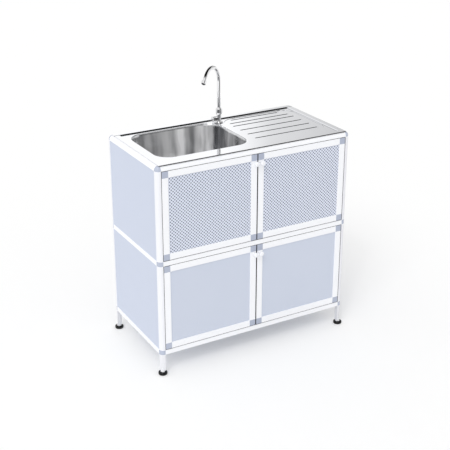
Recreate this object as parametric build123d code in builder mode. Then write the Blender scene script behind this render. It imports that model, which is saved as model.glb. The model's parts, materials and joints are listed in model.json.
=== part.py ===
from build123d import *
from math import cos, radians, sin, tan
import os

os.makedirs("parts", exist_ok=True)

# Kitchen sink unit, millimetres. X to the right, Y to the back, Z up from the floor.

# Frame
unit_width = 900
unit_depth = 465
leg_clearance = 93  # floor to the bottom rails
bay_height = 379  # between two rails
tube = 20  # side of the square aluminium profile
tube_round = 17  # its rounded outer corner
edge_round = 1
tube_wall = 1.5
spigot_reach = 24  # connector pegs inside the profiles
spigot_play = 0.2

# Panels in the profiles' slots
panel_thick = 3
slot_play = 0.1
slot_skin = 1.5  # profile left outside a slot
slot_depth = 6
slot_end_play = 0.5
service_width = 380  # plumbing cut-out in the upper back panel
service_height = 180
service_round = 20
service_rise = 70  # above the middle rail

# Feet
foot_radius = 19
foot_height = 15
foot_neck_radius = 8
foot_neck = 3
foot_edge = 3  # chamfer
foot_crown = 1.5
foot_plug_reach = 20

# Doors
door_thick = 18
door_profile = 28
door_side_gap = 2
door_end_gap = 1.5
door_middle_gap = 3
door_slot_set = 4  # front face to panel slot
door_slot_depth = 8
block_peg_reach = 18

# Door pivots
pivot_inset = 9  # from the door's outer edge
pivot_set = 6  # from the door's front face
pivot_radius = 2.5
pivot_hold = 14  # length inside the corner block
pivot_reach = 7  # length beyond the door
pivot_play = 0.05
bush_radius = 4
bush_length = 9
seat_play = 0.02

# Knobs and catches
knob_reach = 25
knob_radius = 10.5
knob_neck_radius = 5
knob_neck = 10
knob_head = 9
knob_rim = 5
knob_cap_radius = 7.5
knob_inset = 12  # from the door's free edge
knob_drop = 37  # below the door's top edge
catch_width = 26
catch_depth = 13
catch_height = 30
catch_lap = 7  # held by the rail's inner face
catch_inset = 22
catch_gap = 0.3
magnet_width = 16
magnet_height = 9
magnet_depth = 6

# Sink top
sheet = 1
rim_lap_side = 6  # rim over the frame's opening
rim_lap_front = 14
rim_lap_back = 4
rim_width = 22
rim_rise = 2  # rim's top above the frame
rim_hem = 1.2
rim_corner = 6
deck_drop = 4
deck_corner = 8
rim_slope = 30
seal_width = 2
seal_inset = 0.4
bowl_width = 412
bowl_length = 323
bowl_from_left = 48  # rim's outer edge to the bowl
bowl_from_back = 41
bowl_corner = 65
bowl_depth = 150
bowl_draft = 3
bowl_floor_round = 28
bowl_lip_round = 5
tap_bridge = 31  # flat between the bowl and the drainer
drainer_length = 324
drainer_from_right = 28
drainer_from_back = 35
drainer_corner = 60
drainer_drop = 2
press_slope = 40
groove_width = 9
groove_depth = 2
groove_slope = 20
groove_rows = ((40, 9), (101, 9), (161, 9), (222, 9), (261, 16), (303, 44))  # from the front, end margin
groove_right_extra = 20
clip_width = 14
clip_thick = 1.5
clip_grip = 9
clip_gap = 0.3
clip_stand = 8  # from the rail's inner face to the stud
clip_stud_radius = 3

# Waste
waste_seat_radius = 57
waste_seat_drop = 4
waste_hole_radius = 44
waste_radius = 43
waste_wall = 2
waste_flange_radius = 56
waste_flange = 2
waste_height = 46
waste_tail_radius = 20
waste_tail = 53.5
waste_nut_radius = 52
waste_nut_height = 12
basket_radius = 39
basket_depth = 26
basket_wall = 1
basket_rim_radius = 42
basket_holes = 8
basket_hole_radius = 6
basket_knob_radius = 7

# Overflow
overflow_drop = 33  # below the deck
overflow_back = 128  # from the bowl's front edge
overflow_hole_radius = 11
rosette_radius = 14
rosette_thick = 1.5
rosette_edge = 0.8
rosette_slots = 4
rosette_hole_radius = 3
overflow_head_radius = 17
overflow_head = 24
overflow_pipe_radius = 9
overflow_bend = 22

# Trap
trap_radius = 33
trap_wall = 2.5
trap_height = 92
trap_neck_radius = 24
trap_neck = 20
trap_outlet_drop = 46  # neck's top to the outlet's axis
trap_cup_height = 46
trap_cup_lap = 16
trap_cup_ribs = 8
trap_nut_radius = 29
trap_nut_height = 17
trap_nut_end = 3
pipe_wall = 2
pipe_play = 0.1
outlet_back_gap = 2  # outlet pipe's end inside the frame's back

# Tap
tap_angle = 29.4  # round the bowl's back right corner, from +X
tap_clear = 0.5  # flange to the bowl's rounded lip
tap_hole_radius = 11
tap_shank_radius = 10.4
tap_shank = 32
tap_tail_radius = 8.33  # three-eighths pipe thread
tap_tail = 16
tap_shank_bore = 5
tap_gasket = 1
tap_flange_radius = 19
tap_flange = 4
tap_radius = 10
tap_height = 38
tap_nut_radius = 14.5
tap_nut_height = 31
tap_nut_lip = 2
tap_nut_end = 5
tap_nut_cone = 8
back_nut_radius = 15
back_nut_height = 10
valve_rise = 18
valve_boss_radius = 8
valve_boss_reach = 14
valve_spindle_radius = 3
valve_spindle_hold = 10
handle_radius = 13
handle_length = 19
handle_flute = 3.2
handle_flutes = 6
handle_gap = 0.3
handle_edge = 1.5
spout_radius = 8
spout_wall = 1.3
spout_bend = 76
spout_rise = 182  # deck to the start of the bend
spout_turn = 134
spout_end = 34
spout_heading = -143  # degrees from +X, towards the bowl
spout_bead = 1.5
running_play = 0.05
aerator_radius = 10.5
aerator_length = 14
aerator_lap = 9
aerator_bore = 7
aerator_edge = 1


# Levels and edges of the frame. The origin is under the middle of the unit, knobs and feet included.
foot_overhang = foot_radius - tube / 2
front = -(unit_depth + foot_overhang - knob_reach) / 2
back = front + unit_depth
left = -unit_width / 2
inner_left = left + tube
inner_front = front + tube
inner_back = back - tube
inner_width = unit_width - 2 * tube
inner_depth = unit_depth - 2 * tube
middle_y = (front + back) / 2
bottom_rail = leg_clearance
middle_rail = bottom_rail + tube + bay_height
top_rail = middle_rail + tube + bay_height
frame_top = top_rail + tube

# Slots and hollows of the profiles, from the outer corner: low u, low v, high u, high v
slot_gap = panel_thick + 2 * slot_play
slot_end = slot_skin + slot_gap
slot_floor = tube - slot_depth
shelf_low = (tube - slot_gap) / 2
shelf_high = (tube + slot_gap) / 2
panel_slot = (slot_skin, slot_floor, slot_end, tube)
turned_slot = (slot_floor, slot_skin, tube, slot_end)
upper_slot = (slot_skin, 0, slot_end, slot_depth)
shelf_slot = (slot_floor, shelf_low, tube, shelf_high)
front_shelf_slot = (shelf_low, slot_floor, shelf_high, tube)
corner_hollow = (slot_end + tube_wall, slot_end + tube_wall, tube - tube_wall, tube - tube_wall)
rail_hollow = (slot_end + tube_wall, tube_wall, slot_floor - tube_wall, tube - tube_wall)
front_hollow = (tube_wall, tube_wall, tube - tube_wall, slot_floor - tube_wall)


def front_post_plane(height):
    return Plane(origin=(left, front, height), x_dir=(1, 0, 0), z_dir=(0, 0, 1))


def back_post_plane(height):
    return Plane(origin=(left, back, height), x_dir=(0, -1, 0), z_dir=(0, 0, 1))


def side_rail_plane(start, low):
    return Plane(origin=(left, start, low + tube), x_dir=(1, 0, 0), z_dir=(0, 1, 0))


def front_rail_plane(low):
    return Plane(origin=(inner_left, front, low + tube), x_dir=(0, 0, -1), z_dir=(1, 0, 0))


def back_rail_plane(low):
    return Plane(origin=(inner_left, back, low + tube), x_dir=(0, -1, 0), z_dir=(1, 0, 0))


def tube_section(place, hollows, corner_round):
    """Profile section drawn from its outer corner, with slots and hollows taken out."""
    with BuildSketch(place) as section:
        Rectangle(tube, tube, align=Align.MIN)
        fillet(section.vertices().sort_by_distance((0, 0, 0))[0], corner_round)
        for low_u, low_v, high_u, high_v in hollows:
            with Locations((low_u, low_v)):
                Rectangle(high_u - low_u, high_v - low_v, align=Align.MIN, mode=Mode.SUBTRACT)
    return section.sketch


def peg(place, hollow, reach):
    """Connector peg that fills a profile's hollow with a little play."""
    low_u, low_v, high_u, high_v = hollow
    with BuildSketch(place) as outline:
        with Locations(((low_u + high_u) / 2, (low_v + high_v) / 2)):
            Rectangle(high_u - low_u - 2 * spigot_play, high_v - low_v - 2 * spigot_play)
    extrude(outline.sketch, amount=reach)


def notched_sheet(place, wide, tall, bite):
    """Panel outline that enters slots on four sides and leaves the corners free."""
    with BuildSketch(place) as outline:
        Rectangle(wide + 2 * bite, tall - 2 * slot_end_play)
        Rectangle(wide - 2 * slot_end_play, tall + 2 * bite)
    return outline.sketch


# Posts and legs
with BuildPart() as posts:
    for low in (bottom_rail + tube, middle_rail + tube):
        extrude(tube_section(front_post_plane(low), [panel_slot, corner_hollow], tube_round), amount=bay_height)
        back_slots = [panel_slot, turned_slot, corner_hollow]
        extrude(tube_section(back_post_plane(low), back_slots, tube_round), amount=bay_height)
    mirror(about=Plane.YZ)
posts.part.label = "posts"
export_step(posts.part, "parts/posts.step")

leg_foot = foot_height + foot_neck
with BuildPart() as legs:
    for plane in (front_post_plane(leg_foot), back_post_plane(leg_foot)):
        extrude(tube_section(plane, [corner_hollow], tube_round), amount=leg_clearance - leg_foot)
    mirror(about=Plane.YZ)
legs.part.label = "legs"
export_step(legs.part, "parts/legs.step")

# Rails
side_slots = {
    bottom_rail: [upper_slot, shelf_slot, rail_hollow],
    middle_rail: [upper_slot, panel_slot, shelf_slot, rail_hollow],
    top_rail: [panel_slot, corner_hollow],
}
rail_round = {bottom_rail: edge_round, middle_rail: edge_round, top_rail: tube_round}

with BuildPart() as side_rails:
    for low, hollows in side_slots.items():
        extrude(tube_section(side_rail_plane(inner_front, low), hollows, rail_round[low]), amount=inner_depth)
    mirror(about=Plane.YZ)
side_rails.part.label = "side_rails"
export_step(side_rails.part, "parts/side_rails.step")

with BuildPart() as back_rails:
    for low, hollows in side_slots.items():
        extrude(tube_section(back_rail_plane(low), hollows, rail_round[low]), amount=inner_width)
back_rails.part.label = "back_rails"
export_step(back_rails.part, "parts/back_rails.step")

door_left = inner_left + door_side_gap
door_right = -door_middle_gap / 2
pivot_x = door_left + pivot_inset
pivot_y = front + pivot_set
bush_seats = [  # rail face and the way into the rail
    (top_rail, 1),
    (middle_rail + tube, -1),
    (middle_rail, 1),
    (bottom_rail + tube, -1),
]

with BuildPart() as front_rails:
    extrude(tube_section(front_rail_plane(top_rail), [corner_hollow], tube_round), amount=inner_width)
    for low in (middle_rail, bottom_rail):
        extrude(tube_section(front_rail_plane(low), [front_shelf_slot, front_hollow], edge_round),
                amount=inner_width)
    for face, inward in bush_seats:
        with BuildSketch(Plane.XY.offset(face)):
            with Locations((pivot_x, pivot_y), (-pivot_x, pivot_y)):
                Circle(bush_radius + seat_play)
        extrude(amount=inward * (bush_length + slot_end_play), mode=Mode.SUBTRACT)
front_rails.part.label = "front_rails"
export_step(front_rails.part, "parts/front_rails.step")

# Connectors at the frame's corners. The front rails' pegs end short of the door bushes.
front_spigot_reach = door_side_gap + pivot_inset - bush_radius - slot_end_play
with BuildPart() as top_connectors:
    for corner_y, inner_y in ((front, inner_front), (back, inner_back)):
        with BuildPart(mode=Mode.PRIVATE) as corner:
            with Locations(((left + inner_left) / 2, (corner_y + inner_y) / 2, (top_rail + frame_top) / 2)):
                Box(tube, tube, tube)
            fillet(corner.edges().sort_by_distance((left, corner_y, frame_top))[0:3], tube_round)
        add(corner.part)
    peg(front_post_plane(top_rail), corner_hollow, -spigot_reach)
    peg(back_post_plane(top_rail), corner_hollow, -spigot_reach)
    peg(side_rail_plane(inner_front, top_rail), corner_hollow, spigot_reach)
    peg(side_rail_plane(inner_back, top_rail), corner_hollow, -spigot_reach)
    peg(front_rail_plane(top_rail), corner_hollow, front_spigot_reach)
    peg(back_rail_plane(top_rail), corner_hollow, spigot_reach)
    mirror(about=Plane.YZ)
top_connectors.part.label = "top_connectors"
export_step(top_connectors.part, "parts/top_connectors.step")

with BuildPart() as rail_connectors:
    for low in (middle_rail, bottom_rail):
        for plane in (front_post_plane, back_post_plane):
            extrude(tube_section(plane(low), [], tube_round), amount=tube)
            peg(plane(low + tube), corner_hollow, spigot_reach)
            peg(plane(low), corner_hollow, -spigot_reach)
        peg(side_rail_plane(inner_front, low), rail_hollow, spigot_reach)
        peg(side_rail_plane(inner_back, low), rail_hollow, -spigot_reach)
        peg(front_rail_plane(low), front_hollow, front_spigot_reach)
        peg(back_rail_plane(low), rail_hollow, spigot_reach)
    mirror(about=Plane.YZ)
rail_connectors.part.label = "rail_connectors"
export_step(rail_connectors.part, "parts/rail_connectors.step")

# Side, back, shelf and floor panels
bite = slot_depth - slot_end_play
bay_middles = (bottom_rail + tube + bay_height / 2, middle_rail + tube + bay_height / 2)

with BuildPart() as side_panels:
    for height in bay_middles:
        plane = Plane(origin=(left + slot_skin + slot_play, middle_y, height), x_dir=(0, 1, 0), z_dir=(1, 0, 0))
        extrude(notched_sheet(plane, inner_depth, bay_height, bite), amount=panel_thick)
    mirror(about=Plane.YZ)
side_panels.part.label = "side_panels"
export_step(side_panels.part, "parts/side_panels.step")

bowl_middle_x = left + tube - rim_lap_side + bowl_from_left + bowl_width / 2
bowl_middle_y = inner_back + rim_lap_back - bowl_from_back - bowl_length / 2

back_panel_y = back - slot_skin - slot_play
with BuildPart() as back_panels:
    for height in bay_middles:
        plane = Plane(origin=(0, back_panel_y, height), x_dir=(1, 0, 0), z_dir=(0, -1, 0))
        extrude(notched_sheet(plane, inner_width, bay_height, bite), amount=panel_thick)
    service_middle = (bowl_middle_x + service_width / 4, middle_rail + tube + service_rise + service_height / 2)
    with BuildSketch(Plane(origin=(0, back_panel_y, 0), x_dir=(1, 0, 0), z_dir=(0, -1, 0))):
        with Locations(service_middle):
            RectangleRounded(service_width, service_height, service_round)
    extrude(amount=panel_thick, mode=Mode.SUBTRACT)
back_panels.part.label = "back_panels"
export_step(back_panels.part, "parts/back_panels.step")

for board_name, low in (("shelf", middle_rail), ("floor_panel", bottom_rail)):
    with BuildPart() as board:
        plane = Plane(origin=(0, middle_y, low + (tube - panel_thick) / 2), z_dir=(0, 0, 1))
        extrude(notched_sheet(plane, inner_width, inner_depth, bite), amount=panel_thick)
    board.part.label = board_name
    export_step(board.part, f"parts/{board_name}.step")

# Feet pushed into the legs
with BuildPart() as feet:
    for foot_y, peg_plane in ((front + tube / 2, front_post_plane), (back - tube / 2, back_post_plane)):
        with BuildSketch(Plane(origin=(left + tube / 2, foot_y, 0), x_dir=(1, 0, 0), z_dir=(0, -1, 0))):
            with BuildLine():
                Polyline(
                    (0, leg_foot),
                    (foot_neck_radius, leg_foot),
                    (foot_neck_radius, foot_height),
                    (foot_radius - foot_edge, foot_height - foot_crown),
                    (foot_radius, foot_height - foot_crown - foot_edge),
                    (foot_radius, 0),
                    (0, 0),
                    close=True,
                )
            make_face()
        revolve(axis=Axis((left + tube / 2, foot_y, 0), (0, 0, 1)))
        peg(peg_plane(leg_foot), corner_hollow, foot_plug_reach)
    mirror(about=Plane.YZ)
feet.part.label = "feet"
export_step(feet.part, "parts/feet.step")

# Bushes that carry the door pivots
with BuildPart() as pivot_bushes:
    for face, inward in bush_seats:
        with BuildSketch(Plane.XY.offset(face)):
            with Locations((pivot_x, pivot_y)):
                Circle(bush_radius)
                Circle(pivot_radius + pivot_play, mode=Mode.SUBTRACT)
        extrude(amount=inward * bush_length)
    mirror(about=Plane.YZ)
pivot_bushes.part.label = "pivot_bushes"
export_step(pivot_bushes.part, "parts/pivot_bushes.step")

# Magnetic catches behind the rails above each door
with BuildPart() as door_catches:
    for rail in (top_rail, middle_rail):
        catch_low = rail + catch_lap - catch_height
        with Locations((-catch_inset, inner_front + catch_depth / 2, catch_low + catch_height / 2)):
            Box(catch_width, catch_depth, catch_height)
        with BuildSketch(Plane.XZ.offset(-inner_front)):
            with Locations((-catch_inset, catch_low + catch_height / 3)):
                Rectangle(magnet_width + 2 * slot_play, magnet_height + 2 * slot_play)
        extrude(amount=-magnet_depth, mode=Mode.SUBTRACT)
        with Locations((-catch_inset, inner_front + magnet_depth / 2, catch_low + catch_height / 3)):
            Box(magnet_width, magnet_depth - slot_play, magnet_height)
    mirror(about=Plane.YZ)
door_catches.part.label = "door_catches"
export_step(door_catches.part, "parts/door_catches.step")

# Doors: made on the left, mirrored to the right
door_slot = (
    door_profile - door_slot_depth,
    door_slot_set,
    door_profile,
    door_slot_set + slot_gap,
)
door_hollow = (
    tube_wall,
    tube_wall,
    door_profile - door_slot_depth - tube_wall,
    door_thick - tube_wall,
)
door_width = door_right - door_left
door_height = bay_height - 2 * door_end_gap


def door_bar(place, length):
    """One length of door profile, drawn from its outer front edge."""
    with BuildSketch(place) as section:
        Rectangle(door_profile, door_thick, align=Align.MIN)
        fillet(section.vertices().group_by(Axis.Y)[0], edge_round)
        for low_u, low_v, high_u, high_v in (door_slot, door_hollow):
            with Locations((low_u, low_v)):
                Rectangle(high_u - low_u, high_v - low_v, align=Align.MIN, mode=Mode.SUBTRACT)
    extrude(section.sketch, amount=length)


def door_planes(low):
    """Start planes of the hinge stile, free stile, bottom bar and top bar."""
    high = low + door_height
    return (
        Plane(origin=(door_left, front, low + door_profile), x_dir=(1, 0, 0), z_dir=(0, 0, 1)),
        Plane(origin=(door_right, front, high - door_profile), x_dir=(-1, 0, 0), z_dir=(0, 0, -1)),
        Plane(origin=(door_right - door_profile, front, low), x_dir=(0, 0, 1), z_dir=(-1, 0, 0)),
        Plane(origin=(door_left + door_profile, front, high), x_dir=(0, 0, -1), z_dir=(1, 0, 0)),
    )


def door_frame(low):
    hinge_stile, free_stile, bottom_bar, top_bar = door_planes(low)
    with BuildPart() as bars:
        door_bar(hinge_stile, door_height - 2 * door_profile)
        door_bar(free_stile, door_height - 2 * door_profile)
        door_bar(bottom_bar, door_width - 2 * door_profile)
        door_bar(top_bar, door_width - 2 * door_profile)
    return bars.part


def door_corners(low):
    stile_run = door_height - 2 * door_profile
    bar_run = door_width - 2 * door_profile
    with BuildPart() as blocks:
        for x in (door_left + door_profile / 2, door_right - door_profile / 2):
            for z in (low + door_profile / 2, low + door_height - door_profile / 2):
                with Locations((x, front + door_thick / 2, z)):
                    Box(door_profile, door_thick, door_profile)
        for plane, run in zip(door_planes(low), (stile_run, stile_run, bar_run, bar_run)):
            peg(plane, door_hollow, block_peg_reach)
            peg(plane.offset(run), door_hollow, -block_peg_reach)
        for face, inward in ((low, 1), (low + door_height, -1)):
            with BuildSketch(Plane.XY.offset(face)):
                with Locations((pivot_x, pivot_y)):
                    Circle(pivot_radius + seat_play)
            extrude(amount=inward * pivot_hold, mode=Mode.SUBTRACT)
    return blocks.part


def door_panel(low):
    middle = ((door_left + door_right) / 2, front + door_slot_set + slot_play, low + door_height / 2)
    plane = Plane(origin=middle, x_dir=(1, 0, 0), z_dir=(0, 1, 0))
    with BuildPart() as sheet_panel:
        extrude(
            notched_sheet(
                plane,
                door_width - 2 * door_profile,
                door_height - 2 * door_profile,
                door_slot_depth - slot_end_play,
            ),
            amount=panel_thick,
        )
    return sheet_panel.part


def door_knob(low):
    centre = (door_right - knob_inset, front, low + door_height - knob_drop)
    with BuildPart() as knob:
        with BuildSketch(Plane(origin=centre, x_dir=(1, 0, 0), z_dir=(0, 0, -1))):
            with BuildLine():
                Polyline(
                    (0, 0),
                    (knob_neck_radius, 0),
                    (knob_neck_radius, knob_neck),
                    (knob_radius, knob_reach - knob_head),
                    (knob_radius, knob_reach - knob_head + knob_rim),
                    (knob_cap_radius, knob_reach),
                    (0, knob_reach),
                    close=True,
                )
            make_face()
        revolve(axis=Axis(centre, (0, 1, 0)))
    return knob.part


def door_pivots(low):
    with BuildPart() as pins:
        for start in (low - pivot_reach, low + door_height - pivot_hold):
            with BuildSketch(Plane.XY.offset(start)):
                with Locations((pivot_x, pivot_y)):
                    Circle(pivot_radius)
            extrude(amount=pivot_hold + pivot_reach)
    return pins.part


def door_strike(low):
    rail = low - door_end_gap + bay_height
    catch_low = rail + catch_lap - catch_height
    strike_thick = tube - door_thick - catch_gap
    with BuildPart() as strike:
        with Locations(
            (-catch_inset, front + door_thick + strike_thick / 2, catch_low + catch_height / 3)
        ):
            Box(magnet_width, strike_thick, magnet_height + 2)
    return strike.part


door_pieces = {
    "frame": door_frame,
    "corners": door_corners,
    "panel": door_panel,
    "knob": door_knob,
    "pivots": door_pivots,
    "strike": door_strike,
}
door_rows = {"upper": middle_rail + tube + door_end_gap, "lower": bottom_rail + tube + door_end_gap}

for row, low in door_rows.items():
    for piece_name, make_piece in door_pieces.items():
        left_piece = make_piece(low)
        left_piece.label = f"{row}_left_door_{piece_name}"
        export_step(left_piece, f"parts/{left_piece.label}.step")
        right_piece = mirror(left_piece, about=Plane.YZ)
        right_piece.label = f"{row}_right_door_{piece_name}"
        export_step(right_piece, f"parts/{right_piece.label}.step")

# Sink top: one pressed sheet, made as the die's form less the punch's form
rim_top = frame_top + rim_rise
deck_top = rim_top - deck_drop
plate_width = inner_width + 2 * rim_lap_side
plate_length = inner_depth + rim_lap_front + rim_lap_back
plate_front = inner_front - rim_lap_front
plate_middle_y = plate_front + plate_length / 2
bowl_left = bowl_middle_x - bowl_width / 2
bowl_right = bowl_middle_x + bowl_width / 2
drainer_left = bowl_right + tap_bridge
drainer_right = plate_width / 2 - drainer_from_right
drainer_width = drainer_right - drainer_left
drainer_middle_x = (drainer_left + drainer_right) / 2
drainer_middle_y = plate_front + plate_length - drainer_from_back - drainer_length / 2
bowl_front = bowl_middle_y - bowl_length / 2
bowl_back = bowl_middle_y + bowl_length / 2
bowl_floor = deck_top - bowl_depth
seat_floor = bowl_floor - waste_seat_drop
press_stroke = 12


def press_form(grow):
    """Space above the sheet (grow 0) or above its underside (grow = sheet)."""
    with BuildPart() as form:
        with BuildSketch(Plane.XY.offset(rim_top - grow)):
            with Locations((0, plate_middle_y)):
                RectangleRounded(plate_width, plate_length, rim_corner)
        extrude(amount=press_stroke)
        with BuildSketch(Plane.XY.offset(rim_top - grow)):
            with Locations((0, plate_middle_y)):
                RectangleRounded(plate_width - 2 * rim_width + 2 * grow, plate_length - 2 * rim_width + 2 * grow,
                                 deck_corner + grow)
        extrude(amount=-deck_drop, taper=rim_slope)
        with BuildSketch(Plane.XY.offset(deck_top - grow)):
            with Locations((bowl_middle_x, bowl_middle_y)):
                RectangleRounded(bowl_width + 2 * grow, bowl_length + 2 * grow, bowl_corner + grow)
        extrude(amount=-bowl_depth, taper=bowl_draft)
        fillet(form.edges().group_by(Axis.Z)[0], bowl_floor_round + grow)
        mouth = form.edges().filter_by_position(Axis.Z, deck_top - grow, deck_top - grow)
        mouth = mouth.filter_by_position(Axis.X, bowl_left - 2 * sheet, bowl_right + 2 * sheet)
        mouth = mouth.filter_by_position(Axis.Y, bowl_front - 2 * sheet, bowl_back + 2 * sheet)
        fillet(mouth, bowl_lip_round - grow)
        with BuildSketch(Plane.XY.offset(bowl_floor - grow)):
            with Locations((bowl_middle_x, bowl_middle_y)):
                Circle(waste_seat_radius + grow)
        extrude(amount=-waste_seat_drop)
        with BuildSketch(Plane.XY.offset(deck_top - grow)):
            with Locations((drainer_middle_x, drainer_middle_y)):
                RectangleRounded(drainer_width + 2 * grow, drainer_length + 2 * grow, drainer_corner + grow)
        extrude(amount=-drainer_drop, taper=press_slope)
        for distance, margin in groove_rows:
            run = drainer_width - 2 * margin - groove_right_extra
            start = drainer_left + margin
            with BuildSketch(Plane.XY.offset(deck_top - drainer_drop - grow)):
                with Locations((start + run / 2, drainer_middle_y - drainer_length / 2 + distance)):
                    SlotOverall(run + 2 * grow, groove_width + 2 * grow)
            extrude(amount=-groove_depth, taper=groove_slope)
    return form.part


tap_reach = bowl_corner + bowl_lip_round + tap_clear + tap_flange_radius
tap_x = bowl_right - bowl_corner + tap_reach * cos(radians(tap_angle))
tap_y = bowl_back - bowl_corner + tap_reach * sin(radians(tap_angle))
overflow_y = bowl_front + overflow_back
overflow_z = deck_top - overflow_drop

with BuildPart() as sink_top:
    add(press_form(sheet))
    add(press_form(0), mode=Mode.SUBTRACT)
    with BuildSketch(Plane.XY.offset(frame_top)) as hem:
        with Locations((0, plate_middle_y)):
            RectangleRounded(plate_width, plate_length, rim_corner)
            RectangleRounded(plate_width - 2 * rim_hem, plate_length - 2 * rim_hem, rim_corner - rim_hem,
                             mode=Mode.SUBTRACT)
    extrude(amount=rim_rise - sheet)
    with BuildSketch(Plane.XY.offset(deck_top)):
        with Locations((tap_x, tap_y)):
            Circle(tap_hole_radius)
    extrude(amount=-2 * sheet, mode=Mode.SUBTRACT)
    with BuildSketch(Plane.XY.offset(seat_floor)):
        with Locations((bowl_middle_x, bowl_middle_y)):
            Circle(waste_hole_radius)
    extrude(amount=-2 * sheet, mode=Mode.SUBTRACT)
    with BuildSketch(Plane.YZ.offset(bowl_right)):
        with Locations((overflow_y, overflow_z)):
            Circle(overflow_hole_radius)
    extrude(amount=overflow_drop, both=True, mode=Mode.SUBTRACT)
sink_top.part.label = "sink_top"
export_step(sink_top.part, "parts/sink_top.step")

with BuildPart() as sink_seal:
    with BuildSketch(Plane.XY.offset(frame_top)):
        with Locations((0, middle_y)):
            RectangleRounded(inner_width + 2 * (seal_inset + seal_width),
                             inner_depth + 2 * (seal_inset + seal_width), seal_inset + seal_width)
            Rectangle(inner_width + 2 * seal_inset, inner_depth + 2 * seal_inset, mode=Mode.SUBTRACT)
    extrude(amount=rim_rise - sheet)
sink_seal.part.label = "sink_seal"
export_step(sink_seal.part, "parts/sink_seal.step")

# Clips that hold the sink down against the frame's top rails
rail_grips = (
    (Plane(origin=(inner_left, middle_y - inner_depth / 4, top_rail), x_dir=(1, 0, 0), z_dir=(0, -1, 0)),
     rim_lap_side),
    (Plane(origin=(inner_left, middle_y + inner_depth / 4, top_rail), x_dir=(1, 0, 0), z_dir=(0, -1, 0)),
     rim_lap_side),
    (Plane(origin=(left / 2, inner_back, top_rail), x_dir=(0, -1, 0), z_dir=(-1, 0, 0)), rim_lap_back),
)
rim_step = deck_drop * tan(radians(rim_slope)) - sheet  # run of the step's underside past the rim
clip_heel_height = deck_top - sheet - top_rail
with BuildPart() as sink_clips:
    for plane, lap in rail_grips:
        clip_heel = rim_width - lap + rim_step + clip_gap + clip_thick
        with BuildSketch(plane):
            with Locations((-clip_grip, -clip_thick)):
                Rectangle(clip_grip + clip_heel, clip_thick, align=Align.MIN)
            with Locations((clip_heel - clip_thick, -clip_thick)):
                Rectangle(clip_thick, clip_heel_height + clip_thick, align=Align.MIN)
        extrude(amount=clip_width / 2, both=True)
        with BuildSketch(Plane(origin=plane.origin + plane.x_dir * clip_stand, z_dir=(0, 0, 1))):
            Circle(clip_stud_radius + running_play)
        extrude(amount=-clip_thick, mode=Mode.SUBTRACT)
    mirror(about=Plane.YZ)
sink_clips.part.label = "sink_clips"
export_step(sink_clips.part, "parts/sink_clips.step")

with BuildPart() as clip_bolts:
    for plane, lap in rail_grips:
        stud_foot = plane.origin + plane.x_dir * clip_stand
        with BuildSketch(Plane(origin=stud_foot, z_dir=(0, 0, 1)).offset(-clip_thick - 2 * clip_stud_radius)):
            Circle(clip_stud_radius)
        extrude(amount=rim_top - sheet - top_rail + clip_thick + 2 * clip_stud_radius)
        with BuildSketch(Plane(origin=stud_foot, z_dir=(0, 0, 1)).offset(-clip_thick)):
            RegularPolygon(2 * clip_stud_radius, 6)
        extrude(amount=-clip_stud_radius * 1.5)
    mirror(about=Plane.YZ)
clip_bolts.part.label = "clip_bolts"
export_step(clip_bolts.part, "parts/clip_bolts.step")

# Waste: flanged body through the bowl's floor, ring nut below it, basket strainer in it
waste_top = seat_floor + waste_flange
waste_shoulder = waste_top - waste_height
tail_end = waste_shoulder - waste_tail
waste_axis = Axis((bowl_middle_x, bowl_middle_y, 0), (0, 0, 1))
waste_plane = Plane(origin=(bowl_middle_x, bowl_middle_y, 0), x_dir=(1, 0, 0), z_dir=(0, -1, 0))

with BuildPart() as waste_body:
    with BuildSketch(waste_plane):
        with BuildLine():
            Polyline(
                (waste_radius, waste_top),
                (waste_flange_radius, waste_top),
                (waste_flange_radius, seat_floor),
                (waste_radius, seat_floor),
                (waste_radius, waste_shoulder),
                (waste_tail_radius, waste_shoulder),
                (waste_tail_radius, tail_end),
                (waste_tail_radius - pipe_wall, tail_end),
                (waste_tail_radius - pipe_wall, waste_shoulder + waste_wall),
                (waste_radius - waste_wall, waste_shoulder + waste_wall),
                (waste_radius - waste_wall, waste_top - basket_wall),
                (waste_radius, waste_top - basket_wall),
                close=True,
            )
        make_face()
    revolve(axis=waste_axis)
waste_body.part.label = "waste_body"
export_step(waste_body.part, "parts/waste_body.step")

with BuildPart() as waste_nut:
    with BuildSketch(Plane.XY.offset(seat_floor - sheet)):
        with Locations((bowl_middle_x, bowl_middle_y)):
            RegularPolygon(waste_nut_radius, 8)
            Circle(waste_radius + running_play, mode=Mode.SUBTRACT)
    extrude(amount=-waste_nut_height)
waste_nut.part.label = "waste_nut"
export_step(waste_nut.part, "parts/waste_nut.step")

basket_floor = waste_top - basket_depth
with BuildPart() as basket_strainer:
    with BuildSketch(waste_plane):
        with BuildLine():
            Polyline(
                (0, basket_floor),
                (basket_radius, basket_floor),
                (basket_radius, waste_top - basket_wall),
                (basket_rim_radius, waste_top - basket_wall),
                (basket_rim_radius, waste_top),
                (basket_radius - basket_wall, waste_top),
                (basket_radius - basket_wall, basket_floor + basket_wall),
                (basket_knob_radius / 2, basket_floor + basket_wall),
                (basket_knob_radius / 2, waste_top - basket_knob_radius),
                (basket_knob_radius, waste_top - basket_knob_radius),
                (basket_knob_radius, waste_top),
                (0, waste_top),
                close=True,
            )
        make_face()
    revolve(axis=waste_axis)
    with BuildSketch(Plane.XY.offset(basket_floor)):
        with Locations((bowl_middle_x, bowl_middle_y)):
            with PolarLocations(basket_radius * 0.6, basket_holes):
                Circle(basket_hole_radius)
    extrude(amount=basket_wall, mode=Mode.SUBTRACT)
basket_strainer.part.label = "basket_strainer"
export_step(basket_strainer.part, "parts/basket_strainer.step")

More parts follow.
